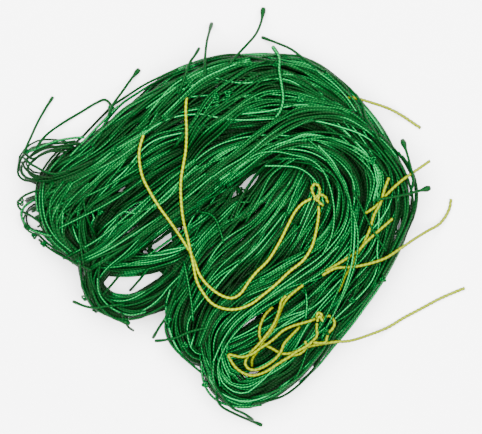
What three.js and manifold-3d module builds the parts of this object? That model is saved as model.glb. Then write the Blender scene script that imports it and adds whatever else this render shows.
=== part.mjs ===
// Folded trellis netting: a soft net of green twisted twine with a thicker yellow
// edge cord, gathered into one hank and laid down in four back-and-forth folds.
// Millimetres, +Z up. The net lies on z = 0 and the origin is under its middle.
// +X is the right and +Y the far side of the heap as it is looked down on.

import * as THREE from 'three';
import { mergeVertices } from 'three/addons/utils/BufferGeometryUtils.js';
import Module from 'manifold-3d';

const wasm = await Module();
wasm.setup();

// Driving dimensions: the twine, the cord and the height of the heap
const TWINE = 1.3;
const CORD = 2.1;
const PILE = 34;

// The runs' sections: how far they are squeezed flat below the surface, the ridges of
// their strands, how square they are, and the spacing of their stations
const SUNK = 8;
const RIDGE = 1.5;
const RIDGE_WIDTH = 8.5;
const SQUARENESS = 0.78;
const LONG_STEP = 26;
const BEND_STEP = 0.5;

// How the cords lie: clearance, tightest bend over a hump, sag over a hollow, and the
// spacing and passes of the smoothing
const GAP = 0.8;
const BEND_RADIUS = 12;
const DROOP_RADIUS = 30;
const LAY_STEP = 2;
const LAY_PASSES = 4000;
const ROUND_PASSES = 12;
const CORD_SIDES = 8;
const CORD_STEP = 2.6;
const KNOT_STEP = 1.8;

// Materials
const greenTwine = new THREE.MeshStandardMaterial({ color: 0x0f8040, roughness: 0.6, metalness: 0 });
const yellowCord = new THREE.MeshStandardMaterial({ color: 0xcfc93a, roughness: 0.6, metalness: 0 });

// Solids and booleans
function toSolid(geometry) {
  const bare = geometry.clone();
  bare.deleteAttribute('normal');
  bare.deleteAttribute('uv');
  const merged = mergeVertices(bare, 1e-4);
  return new wasm.Manifold(new wasm.Mesh({
    numProp: 3,
    vertProperties: Float32Array.from(merged.attributes.position.array),
    triVerts: Uint32Array.from(merged.index.array),
  }));
}

function toGeometry(solid) {
  const mesh = solid.getMesh();
  const geometry = new THREE.BufferGeometry();
  geometry.setAttribute('position', new THREE.BufferAttribute(mesh.vertProperties, 3));
  geometry.setIndex(new THREE.BufferAttribute(mesh.triVerts, 1));
  geometry.computeVertexNormals();
  return geometry;
}

function joinAll(solids) {
  return solids.reduce((whole, next) => whole.add(next));
}

function tube(route, diameter, step) {
  const path = new THREE.CatmullRomCurve3(route, false, 'centripetal');
  const section = new THREE.Shape();
  for (let side = 0; side < CORD_SIDES; side += 1) {
    const angle = (side + 0.5) * 2 * Math.PI / CORD_SIDES;
    const corner = [Math.cos(angle) * diameter / 2, Math.sin(angle) * diameter / 2];
    if (side === 0) {
      section.moveTo(...corner);
    } else {
      section.lineTo(...corner);
    }
  }
  section.closePath();
  return new THREE.ExtrudeGeometry(section, {
    steps: Math.max(2, Math.round(path.getLength() / step)),
    extrudePath: path,
    bevelEnabled: false,
  });
}

// The hank. The gathered net is laid in four long runs, and each bend of a run is a
// fold. A row is a station on the run's middle line.
// Columns: x, y, half width, top of the run above the surface.
const OUTER_RUN = [
  [-6, -1, 6, 14],
  [-33, -17, 6, 21],
  [-67, -21, 8, 24],
  [-91, -10, 11, 24],
  [-107, 10, 14, 25],
  [-104, 28, 16, 26],
  [-84, 42, 16, 26],
  [-46, 76, 16, 27],
  [-18, 93, 16, 28],
  [18, 100, 15, 28],
  [52, 99, 14, 27],
  [76, 83, 13, 27],
  [100, 55, 12, 26],
  [117, 27, 12, 26],
  [113, -1, 12, 25],
  [94, -31, 12, 24],
  [66, -66, 12, 24],
  [43, -92, 10, 24],
  [18, -104, 11, 23],
  [2, -96, 9, 22],
  [-2, -81, 7, 20],
];
const FRONT_RUN = [
  [6, -102, 8, 19],
  [-3, -83, 9, 23],
  [-2, -66, 11, 25],
  [15, -48, 11, 27],
  [43, -32, 11, 29],
  [68, -17, 10, 31],
  [84, 6, 9, 33],
  [84, 32, 8, 34],
  [65, 51, 9, 34],
  [37, 55, 11, 34],
  [5, 44, 14, 34],
  [-31, 19, 14, 33],
  [-63, -6, 14, 31],
  [-78, -22, 9, 28],
  [-82, -35, 7, 24],
  [-72, -47, 7, 22],
  [-56, -49, 7, 21],
  [-36, -41, 9, 20],
  [-16, -24, 9, 14],
];
const MIDDLE_RUN = [
  [-63, -20, 6, 14],
  [-82, -12, 7, 20],
  [-87, 10, 8, 24],
  [-74, 31, 10, 26],
  [-41, 60, 12, 29],
  [-6, 76, 13, 30],
  [31, 81, 13, 31],
  [70, 75, 13, 31],
  [96, 50, 14, 30],
  [103, 23, 14, 29],
  [94, -7, 13, 27],
  [70, -39, 12, 20],
  [38, -62, 10, 14],
  [11, -76, 8, 12],
  [-10, -83, 6, 17],
];
const INNER_RUN = [
  [-2, -84, 6, 14],
  [-17, -80, 6, 20],
  [-24, -61, 8, 23],
  [-18, -42, 11, 24],
  [-5, -20, 16, 26],
  [15, 0, 19, 26],
  [33, 18, 16, 24],
  [47, 34, 12, 20],
  [59, 56, 9, 14],
];


// Lower layers of the net that fill the hollows between the runs
const UPPER_HOLLOW = [
  [-80, 2, 6, 14],
  [-66, 20, 9, 15],
  [-42, 41, 10, 16],
  [-10, 57, 10, 17],
  [24, 65, 10, 17],
  [58, 62, 9, 17],
];
const LEFT_HOLLOW = [
  [-30, -32, 9, 14],
  [-18, -14, 13, 15],
  [-2, 6, 14, 16],
  [21, 30, 13, 17],
  [48, 50, 11, 17],
];
const RIGHT_HOLLOW = [
  [8, -48, 9, 12],
  [23, -36, 12, 12],
  [46, -12, 15, 12],
  [63, 12, 14, 13],
  [68, 32, 11, 14],
  [60, 46, 8, 15],
];
const LOW_HOLLOW = [
  [3, -87, 8, 8],
  [24, -78, 12, 9],
  [39, -64, 14, 9],
  [60, -48, 13, 11],
];

// Loops of a few strands that stand out at the left end of the hank
const LEFT_LOOP = [
  [-91, 53, 3, 12],
  [-106, 57, 3, 9],
  [-120, 55, 3, 7],
  [-128, 45, 2.5, 6],
  [-122, 36, 3, 7],
  [-109, 35, 3, 9],
  [-97, 40, 4, 12],
];
const LOW_LOOP = [
  [-113, 21, 2.5, 10],
  [-123, 18, 2, 7],
  [-127, 10, 2, 6],
  [-125, 2, 2, 6],
  [-115, -3, 2.5, 8],
];

// Gaps between the strands, where the surface shows through
// Columns: x, y, length, width, turn of the length from +X in degrees.
const GAPS = [
  [-65, 26, 14, 6, 45],
  [-77, 16, 17, 6, 50],
  [-57, 12, 15, 5, 40],
  [-32, -5, 19, 6, 40],
  [-44, -12, 12, 4.5, 25],
  [18.5, 29, 19, 7, 45],
  [15, 15.5, 14, 5.5, 50],
  [16, -95, 15, 4.5, 15],
  [117.5, -1, 15, 4.2, 75],
];

// Knots of the net that stand out at the hank's left end and lower edge
// Columns: x, y, height of the middle, radius.
const KNOTS = [
  [-125.5, 18.5, 4, 2.3],
  [-124.5, 2, 4, 2.2],
  [-118, -4, 4, 2.2],
  [-111, -7, 4, 2.2],
  [-102.5, -14, 4, 2],
  [38, 107.5, 22, 2],
];

// A bundle of strands is squarer than an ellipse
function squared(value) {
  return Math.sign(value) * Math.abs(value) ** SQUARENESS;
}

// Places along a run's curve, closer together where it bends
function stationShares(path) {
  const pieces = 40 * path.points.length;
  const shares = [0];
  let load = 0;
  for (let i = 1; i <= pieces; i += 1) {
    const before = (i - 1) / pieces;
    const here = i / pieces;
    const bend = path.getTangent(before).angleTo(path.getTangent(here));
    load += path.getPoint(before).distanceTo(path.getPoint(here)) / LONG_STEP + bend / BEND_STEP;
    if (load >= shares.length - 0.5 || i === pieces) shares.push(here);
  }
  return shares;
}

// A run: a bundle of ridged section swept along its stations. The ridges drift round it
// by ridgeDrift radians from end to end, as the strands of a loose hank do.
function runSolid(rows, ridgeDrift) {
  const middles = rows.map(([x, y]) => new THREE.Vector3(x, y, 0));
  const forms = rows.map(([, , half, top]) => new THREE.Vector3(half, top, 0));
  const path = new THREE.CatmullRomCurve3(middles, false, 'centripetal');
  const form = new THREE.CatmullRomCurve3(forms);
  const widest = Math.max(...rows.map(([, , half, top]) => half + top / 2));
  const sides = 2 * Math.max(4, Math.round(Math.PI * widest / RIDGE_WIDTH));
  const shares = stationShares(path);
  const steps = shares.length - 1;
  const blank = new THREE.CylinderGeometry(1, 1, 1, sides, steps);
  const points = blank.attributes.position;
  const along = shares.map((share) => ({
    share,
    middle: path.getPoint(share),
    heading: path.getTangent(share),
    half: form.getPoint(share).x,
    top: form.getPoint(share).y,
  }));
  for (let i = 0; i < points.count; i += 1) {
    const place = Math.round((points.getY(i) + 0.5) * steps);
    const { share, middle, heading, half, top } = along[place];
    const turn = Math.atan2(points.getX(i), points.getZ(i));
    const side = Math.round(turn / (2 * Math.PI) * sides);
    const onAxis = Math.hypot(points.getX(i), points.getZ(i)) < 0.5;
    const lean = turn + ridgeDrift * share;
    const small = Math.max(2 * RIDGE, Math.min(half, (top + SUNK) / 2));
    const valley = side % 2 === 0 ? 0 : RIDGE / small;
    const reach = onAxis ? 0 : 1 - valley;
    const across = squared(Math.cos(lean)) * half * reach;
    const up = (top - SUNK) / 2 + squared(Math.sin(lean)) * (top + SUNK) / 2 * reach;
    points.setXYZ(i, middle.x - heading.y * across, middle.y + heading.x * across, up);
  }
  return toSolid(blank);
}

function gapCutter([x, y, length, width, turn]) {
  const outline = new THREE.Shape();
  outline.absellipse(0, 0, length / 2, width / 2, 0, 2 * Math.PI);
  const cutter = new THREE.ExtrudeGeometry(outline, {
    depth: 3 * PILE,
    bevelEnabled: false,
    curveSegments: 8,
  });
  cutter.translate(0, 0, -PILE);
  cutter.rotateZ(THREE.MathUtils.degToRad(turn));
  cutter.translate(x, y, 0);
  return toSolid(cutter);
}

function knotSolid([x, y, z, radius]) {
  const lump = new THREE.IcosahedronGeometry(radius, 1);
  lump.translate(x, y, z);
  return toSolid(lump);
}

function floorCutter() {
  const slab = new THREE.BoxGeometry(20 * PILE, 20 * PILE, 2 * PILE);
  slab.translate(0, 0, -PILE);
  return toSolid(slab);
}

function hankGeometry() {
  const runs = [
    runSolid(OUTER_RUN, 3.2),
    runSolid(FRONT_RUN, -2.4),
    runSolid(MIDDLE_RUN, 2.2),
    runSolid(INNER_RUN, 0.9),
    runSolid(UPPER_HOLLOW, 0.5),
    runSolid(LEFT_HOLLOW, 0.5),
    runSolid(RIGHT_HOLLOW, 0.5),
    runSolid(LOW_HOLLOW, 0.5),
    runSolid(LEFT_LOOP, 1),
    runSolid(LOW_LOOP, 1),
    ...KNOTS.map(knotSolid),
  ];
  const heap = joinAll(runs).subtract(joinAll(GAPS.map(gapCutter)));
  return toGeometry(heap.subtract(floorCutter()));
}

// Cords and loose ends. A row is a place on the route: x and y. The cord lies on what is
// under it.
const CORD_ROUTES = {
  edge_cord_inner: [
    [-48, 62], [-50.5, 52.5], [-50.5, 45], [-48.5, 35], [-44, 26], [-37.5, 15.5], [-29.5, 4.5],
    [-22.5, -6], [-16.5, -16], [-11.5, -28.5], [-5, -36.5], [3, -42], [9.5, -43.5], [14.5, -41],
    [21, -32], [25.5, -26.5], [33, -19], [40.5, -7], [45, 2], [50.5, 12.5], [55.5, 18], [61, 21],
  ],
  edge_cord_outer: [
    [-20, 86.5], [-20.5, 78.5], [-20, 65.5], [-20.5, 52.5], [-22, 43], [-23.5, 33], [-23.5, 20],
    [-22, 7], [-19, -6], [-16, -20], [-13.5, -32], [-10, -39], [-3.5, -47], [5, -50.5],
    [13.5, -50.5], [22.5, -47], [29, -42], [37.5, -35], [47, -26], [55.5, -19], [61, -10.5],
    [64, -0.5], [66, 12], [65.8, 16],
  ],
  edge_cord_top_end: [
    [84, 86.5], [88.5, 86.5], [102.5, 83], [112, 80], [120, 76], [127, 71.5], [133, 67.5],
  ],
  edge_cord_end_1: [[96, 11.5], [102.5, 16], [109, 23], [118.5, 32], [128.5, 39], [138, 45.5]],
  edge_cord_end_2: [
    [111, 34.5], [108, 26.5], [105.5, 18], [101.5, 10.5], [98.5, 0.5], [94.5, -8.5], [90.5, -15],
    [87, -23], [83, -29], [80.5, -35], [78.5, -39.5],
  ],
  edge_cord_end_3: [
    [113.5, 8], [109, 4], [102.5, -1.5], [96.5, -7], [91.5, -12.5], [85, -17], [78.5, -21],
    [70, -26],
  ],
  edge_cord_end_4: [
    [153, 21], [152, 15], [149, 9], [144.5, 4], [138, 0.5], [128.5, -5], [118.5, -11.5],
    [109, -17.5], [99, -21], [89.5, -23], [83, -23.5], [76.5, -24], [68, -28.5],
  ],
  tie_long: [
    [162, -37.5], [154.5, -40.5], [144.5, -45], [131.5, -52], [122, -57], [112, -63], [99, -68],
    [86, -71.5], [76.5, -72], [66.5, -73.5], [59, -75], [52.5, -77.5], [47, -79.5],
    [41.5, -79.5], [35.5, -76.5], [30, -73.5], [27.5, -69], [27.5, -63.5], [29, -58.5],
    [31.5, -54], [36, -49.5],
  ],
  tie_fold_1: [
    [55.5, -35], [51, -38.5], [46, -43], [42.5, -48], [40, -54.5], [37.5, -61], [34, -66.5],
    [29.5, -72], [26.5, -77.5], [22.5, -84], [22.5, -88.5],
  ],
  tie_fold_2: [
    [44.5, -42], [41.5, -45.5], [40.5, -50], [38.5, -56.5], [35.5, -62.5], [31.5, -68],
    [26.5, -74], [21, -80], [18, -86], [20, -89.5], [24.5, -90.5], [29, -89], [34, -86],
    [38.5, -82], [41.5, -77.5], [43, -73.5], [46.5, -69.5], [50.5, -65.5], [53.5, -62.5],
  ],
  tie_fold_3: [
    [63.5, -57], [61.5, -58], [55, -60], [48.5, -62], [42.5, -65], [37.5, -69.5], [33, -73],
    [27.5, -76.5], [22.5, -80], [16, -82], [10, -81], [7, -80.5], [9, -85], [12.5, -89.5],
    [18, -93], [22.5, -94], [27.5, -93], [33, -90.5], [38, -87], [43, -84], [48, -81],
    [53.5, -79.5], [57.5, -75.5], [57, -71.5],
  ],
  tie_end_1: [
    [64.5, -60], [64.5, -63], [64.5, -68], [61.5, -71.5], [57, -75], [51.5, -78], [46, -82],
    [41.5, -84.5],
  ],
  tie_end_2: [
    [68.5, -57], [72, -55], [75, -57], [76, -60], [74.5, -63.5], [72, -66], [71, -69],
    [70, -72], [66, -72.5], [62, -72],
  ],
};
const TWINE_ROUTES = [
  [[-126, 50.5], [-122, 60.5], [-117.5, 71.5], [-113, 80], [-108, 88]],
  [
    [-118.5, 54], [-112, 62.5], [-102.5, 70], [-89.5, 78], [-79.5, 84], [-74, 86], [-70.5, 83],
    [-70.5, 77.5],
  ],
  [[-71, 75], [-68, 82.5], [-62, 91.5], [-57, 99], [-51.5, 106]],
  [[-25, 89], [-21, 100], [-18, 109], [-14.5, 114.5], [-12, 119]],
  [[-8, 101.5], [-8, 112.5], [-7, 123], [-5.5, 130], [-4, 136]],
  [[7, 107], [13.5, 115], [19, 121], [25, 128.5], [28.5, 137], [30, 146]],
  [[63.5, 107], [55, 113], [47, 119], [37.5, 123.5], [29, 127]],
  [[38, 74], [40.5, 77.5], [42.5, 85], [41.5, 95], [40, 104.5], [40, 112.5], [36, 119.5]],
  [[105.5, 58], [100.5, 67], [96, 74], [94, 82], [89.5, 89]],
  [[125, 23], [127, 33], [125, 43], [122.5, 52.5], [120.5, 59]],
  [[102.5, 20], [107.5, 21], [118.5, 23], [125, 24.5], [138, 28]],
  [[-1.5, -104.5], [1.5, -113], [11.5, -119.5], [29, -127.5]],
  [[-2.5, -99], [3, -107], [9.5, -115], [18, -119.5], [23, -123.5]],
  [[-8, -63], [-18, -65.5], [-27.5, -69.5], [-35.5, -71], [-40.5, -71.5]],
  [[-27, -38.5], [-29.5, -45], [-32, -53.5], [-37.5, -62], [-42, -69.5]],
  [[-81.5, -38.5], [-77.5, -47.5], [-70, -55], [-63.5, -58], [-57, -60]],
  [[-61, -47.5], [-73, -49], [-79.5, -50], [-85.5, -49], [-94, -46]],
];

// Knots in the yellow cord: each is a few short turns, fused where they cross
const KNOT_TURNS = {
  edge_cord_knot: [
    [[65, 19.5], [62, 25], [61.5, 28.5], [63.5, 30.5], [66, 29], [66.5, 25], [65.5, 20.5]],
    [[63, 20.5], [66.5, 23.5], [70, 22.5], [72, 18.5]],
    [[63.5, 23], [66.5, 18.5], [69, 16.5]],
  ],
  tie_knot: [
    [[64.8, -56.5], [64.5, -54.5], [66, -53], [67.5, -54.5], [67, -57]],
    [[64.8, -58.5], [66, -55.5], [68.5, -58.5]],
  ],
};

// Height of the heap's top at a place
const eye = new THREE.Raycaster();
const DOWN = new THREE.Vector3(0, 0, -1);

function heapTop(heap, x, y) {
  eye.set(new THREE.Vector3(x, y, 3 * PILE), DOWN);
  const hits = eye.intersectObject(heap);
  return hits.length > 0 ? hits[0].point.z : 0;
}

// Lowest height of a cord's middle line that clears the heap and the cords laid before
function restingHeight(heap, laid, x, y, radius) {
  const reach = radius + GAP;
  let height = radius;
  for (let ring = 0; ring <= 2; ring += 1) {
    const out = reach * ring / 2;
    for (let k = 0; k < (ring === 0 ? 1 : 8); k += 1) {
      const angle = k * Math.PI / 4;
      const top = heapTop(heap, x + out * Math.cos(angle), y + out * Math.sin(angle));
      height = Math.max(height, top + Math.sqrt(reach * reach - out * out));
    }
  }
  for (const cord of laid) {
    const apart = reach + cord.radius;
    for (const point of cord.points) {
      const away = Math.hypot(point.x - x, point.y - y);
      if (away < apart) height = Math.max(height, point.z + Math.sqrt(apart * apart - away * away));
    }
  }
  return height;
}

// A cord laid along its route: it bridges the hollows and rounds the humps
function layCord(heap, laid, rows, diameter) {
  const route = rows.map(([x, y]) => new THREE.Vector3(x, y, 0));
  const path = new THREE.CatmullRomCurve3(route, false, 'centripetal');
  const points = path.getSpacedPoints(Math.round(path.getLength() / LAY_STEP));
  const clear = points.map(({ x, y }) => restingHeight(heap, laid, x, y, diameter / 2));
  const rest = clear.map((_, i) => Math.max(...clear.map((height, j) => (
    height - ((i - j) * LAY_STEP) ** 2 / (2 * BEND_RADIUS)
  ))));
  const last = points.length - 1;
  const droop = LAY_STEP ** 2 / (2 * DROOP_RADIUS);
  points.forEach((point, i) => {
    point.z = rest[i];
  });
  for (let pass = 0; pass < LAY_PASSES; pass += 1) {
    for (let i = 1; i < last; i += 1) {
      points[i].z = Math.max(rest[i], (points[i - 1].z + points[i + 1].z) / 2 - droop);
    }
  }
  for (let pass = 0; pass < ROUND_PASSES; pass += 1) {
    const before = points.map((point) => point.z);
    for (let i = 1; i < last; i += 1) {
      points[i].z = Math.max(rest[i], (before[i - 1] + 2 * before[i] + before[i + 1]) / 4);
    }
  }
  return points;
}

// The part
const group = new THREE.Group();

function addPiece(name, geometry, material) {
  const mesh = new THREE.Mesh(geometry, material);
  mesh.name = name;
  group.add(mesh);
  return mesh;
}

const hank = addPiece('net_hank', hankGeometry(), greenTwine);
const laid = [];

function addCord(name, rows, diameter, material) {
  const points = layCord(hank, laid, rows, diameter);
  laid.push({ points, radius: diameter / 2 });
  addPiece(name, tube(points, diameter, CORD_STEP * diameter), material);
}

for (const [name, rows] of Object.entries(CORD_ROUTES)) {
  addCord(name, rows, CORD, yellowCord);
}
TWINE_ROUTES.forEach((rows, i) => {
  addCord(`twine_end_${i + 1}`, rows, TWINE, greenTwine);
});
for (const [name, turns] of Object.entries(KNOT_TURNS)) {
  const before = [...laid];
  const loops = turns.map((rows) => {
    const points = layCord(hank, before, rows, CORD);
    return toSolid(tube(points, CORD, KNOT_STEP * CORD));
  });
  addPiece(name, toGeometry(joinAll(loops)), yellowCord);
}

export default group;
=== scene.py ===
# Folded trellis netting: a soft net of green twisted twine with a thicker yellow edge
# cord, gathered into one hank and laid down in four back-and-forth folds. Metres, +Z up.
import math

import bpy
import numpy as np
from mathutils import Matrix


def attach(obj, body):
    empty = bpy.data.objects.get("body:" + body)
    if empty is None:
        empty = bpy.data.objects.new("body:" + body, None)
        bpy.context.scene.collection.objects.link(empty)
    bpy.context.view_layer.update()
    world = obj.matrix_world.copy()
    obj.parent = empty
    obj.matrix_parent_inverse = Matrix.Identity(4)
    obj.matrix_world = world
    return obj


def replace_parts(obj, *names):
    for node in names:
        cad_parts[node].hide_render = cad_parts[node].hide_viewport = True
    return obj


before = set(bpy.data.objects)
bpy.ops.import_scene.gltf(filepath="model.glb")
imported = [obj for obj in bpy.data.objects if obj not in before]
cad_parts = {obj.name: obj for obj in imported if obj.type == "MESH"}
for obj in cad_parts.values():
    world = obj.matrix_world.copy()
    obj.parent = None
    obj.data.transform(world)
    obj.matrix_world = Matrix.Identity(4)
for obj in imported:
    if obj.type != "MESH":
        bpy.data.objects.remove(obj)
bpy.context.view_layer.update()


# Camera
# The heap is looked at from straight above, from far enough away that its sides don't show.
PHOTO_SIZE = (482, 434)
PHOTO_SCALE = 0.00065
FRAME_ORIGIN_PX = (217.5, 231.0)
CAMERA_HEIGHT = 2.4
SHARP_HEIGHT = 0.022

view_width = PHOTO_SIZE[0] * PHOTO_SCALE
camera_data = bpy.data.cameras.new("camera")
camera_data.sensor_width = 36.0
camera_data.lens = camera_data.sensor_width * (CAMERA_HEIGHT - SHARP_HEIGHT) / view_width
camera_data.clip_end = 10.0
camera = bpy.data.objects.new("camera", camera_data)
camera.location = (
    (PHOTO_SIZE[0] / 2 - FRAME_ORIGIN_PX[0]) * PHOTO_SCALE,
    (FRAME_ORIGIN_PX[1] - PHOTO_SIZE[1] / 2) * PHOTO_SCALE,
    CAMERA_HEIGHT,
)
bpy.context.collection.objects.link(camera)
bpy.context.scene.camera = camera


# Finishes
# The twine is twisted from split polyethylene film: smooth fibres that run round it in a
# steep helix, with a groove between the plies. The pattern reads the strand's own UV,
# where u counts turns of the twist along it and v goes once round it. It paints shade into
# the grooves and under the strand, and light on its upper side.
def linear(code):
    """An sRGB hex colour as linear RGBA."""
    channels = [int(code[i : i + 2], 16) / 255 for i in (0, 2, 4)]
    return [c / 12.92 if c <= 0.04045 else ((c + 0.055) / 1.055) ** 2.4 for c in channels] + [1.0]


def add_node(tree, kind, settings=None, **inputs):
    """A node with its settings, and its inputs set to a value or linked to a socket."""
    node = tree.nodes.new(kind)
    for name, value in (settings or {}).items():
        setattr(node, name, value)
    for name, value in inputs.items():
        key = int(name[1:]) if name[0] == "i" and name[1:].isdigit() else name.replace("_", " ")
        if isinstance(value, bpy.types.NodeSocket):
            tree.links.new(value, node.inputs[key])
        else:
            node.inputs[key].default_value = value
    return node


# What the tone is made of: a base, painted shade in the ply grooves, the fibres, uneven dye
BASE_TONE, GROOVE_SHADE_TONE, FIBRE_TONE, DYE_TONE = 0.4, 0.6, 0.05, 0.3
# Painted light and shade: a strand is drawn lighter on its upper side, at this v of its
# UV, and darker on its flanks and underside where it lies on others
PAINTED_LIGHT_SIDE_V = 0.25
PAINTED_UNDERSIDE_SHADE, PAINTED_TOPSIDE_LIGHT = 0.3, 0.75
MIDDLE_PLACE = 0.6
FIBRE_RELIEF = 0.06
SHEEN = 0.045


def twisted_finish(name, dark, middle, light, plies, groove_depth, fibre_turns, roughness):
    """Twisted polyethylene twine: plies with painted shade in their grooves, fibres and uneven
    dye, and painted light on its top side with painted shade under it.
    """
    material = bpy.data.materials.new(name)
    material.use_nodes = True
    tree = material.node_tree
    tree.nodes.clear()

    def result(operation, first, second=0.0):
        """The result of one sum on two values or sockets."""
        node = add_node(tree, "ShaderNodeMath", {"operation": operation}, i0=first, i1=second)
        return node.outputs[0]

    uv = add_node(tree, "ShaderNodeUVMap", {"uv_map": "twist"}).outputs["UV"]
    parts = add_node(tree, "ShaderNodeSeparateXYZ", Vector=uv)
    turned = result("SUBTRACT", parts.outputs["Y"], parts.outputs["X"])
    ply = result("FRACT", result("MULTIPLY", turned, float(plies)))
    offset = result("SUBTRACT", result("MULTIPLY", ply, 2.0), 1.0)
    bulge = result("SQRT", result("SUBTRACT", 1.0, result("MULTIPLY", offset, offset)))
    fibre = result("SINE", result("MULTIPLY", turned, 2 * math.pi * fibre_turns))
    along = add_node(tree, "ShaderNodeCombineXYZ", X=parts.outputs["X"], Y=turned)
    uneven = add_node(
        tree, "ShaderNodeTexNoise", {"noise_dimensions": "3D"},
        Vector=along.outputs[0], Scale=3.0, Detail=3.0, Roughness=0.6,
    ).outputs["Fac"]
    tone_and_painted_shade = add_node(tree, "ShaderNodeAttribute", {"attribute_name": "tone_and_painted_shade"}).outputs["Fac"]
    # Painted shade: darker in the grooves between the plies, lighter at a ply's crown
    tone = result("ADD", result("MULTIPLY", bulge, GROOVE_SHADE_TONE), BASE_TONE)
    tone = result("ADD", tone, result("MULTIPLY", fibre, FIBRE_TONE))
    tone = result("ADD", tone, result("MULTIPLY", uneven, DYE_TONE))
    # Painted light on the strand's upper side, painted shade on its flanks and underside
    from_top = result("SUBTRACT", parts.outputs["Y"], PAINTED_LIGHT_SIDE_V)
    from_top = result("MULTIPLY", from_top, 2 * math.pi)
    upper = result("MAXIMUM", result("COSINE", from_top), 0.0)
    upper = result("MULTIPLY", upper, upper)
    painted_side_light = result("ADD", result("MULTIPLY", upper, PAINTED_TOPSIDE_LIGHT), PAINTED_UNDERSIDE_SHADE)
    # The tone attribute: each strand's own tone, with painted depth shade for the hank's strands
    tone = result("MULTIPLY", tone, tone_and_painted_shade)
    tone = result("MULTIPLY", tone, painted_side_light)
    ramp = add_node(tree, "ShaderNodeValToRGB", Fac=tone)
    ramp.color_ramp.elements[0].position = 0.05
    ramp.color_ramp.elements[0].color = linear(dark)
    ramp.color_ramp.elements[1].position = 1.0
    ramp.color_ramp.elements[1].color = linear(light)
    ramp.color_ramp.elements.new(MIDDLE_PLACE).color = linear(middle)
    height = result("ADD", bulge, result("MULTIPLY", fibre, FIBRE_RELIEF))
    bump = add_node(tree, "ShaderNodeBump", Height=height, Distance=groove_depth, Strength=0.8)
    surface = add_node(
        tree, "ShaderNodeBsdfPrincipled",
        Base_Color=ramp.outputs["Color"], Roughness=roughness, Normal=bump.outputs["Normal"],
        Specular_IOR_Level=SHEEN,
    )
    output = add_node(tree, "ShaderNodeOutputMaterial")
    tree.links.new(surface.outputs["BSDF"], output.inputs["Surface"])
    return material


green_twine = twisted_finish(
    "green_polyethylene_twine", "000800", "00310d", "007f3c", 3, 0.0004, 9, 0.4
)
yellow_cord = twisted_finish(
    "yellow_polyethylene_cord", "1c2000", "6e7a00", "a8b400", 3, 0.0003, 9, 0.55
)


# Strands
# A strand is a round tube along its middle line. Many strands make one joined mesh, each
# with its own tone, so that neighbours differ as sun-bleached and newer twine does; in the
# hank, painted shade darkens it where it lies deep.
# The diameters of the mesh twine and the edge cord, and the length of one turn of each
TWINE = 0.0013
TWINE_TURN = 0.0062
CORD = 0.0021
CORD_TURN = 0.0085

# The tables of strands and knots hold pixels of the photograph. In them, a y that ends in .1
# or .9 is a whole pixel: it only settles how its tenth of a millimetre rounds.
METRE_PLACES = 4


def metres(points):
    """Pixels of the photograph as plan points in metres, to a tenth of a millimetre."""
    left, top = FRAME_ORIGIN_PX
    places = ((x - left, top - y) for x, y in points)
    return [tuple(round(v * PHOTO_SCALE, METRE_PLACES) for v in place) for place in places]


def distances(line):
    """How far along the line each of its points is."""
    steps = np.linalg.norm(np.diff(line, axis=0), axis=1)
    return np.concatenate([[0], np.cumsum(steps)])


def across_and_up(lines):
    """For each point of the middle lines, two unit vectors square to the line."""
    ahead = np.gradient(lines, axis=-2)
    ahead /= np.maximum(np.linalg.norm(ahead, axis=-1, keepdims=True), 1e-9)
    side = np.cross(ahead, [0.0, 0.0, 1.0])
    side /= np.maximum(np.linalg.norm(side, axis=-1, keepdims=True), 1e-9)
    return side, np.cross(side, ahead)


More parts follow.
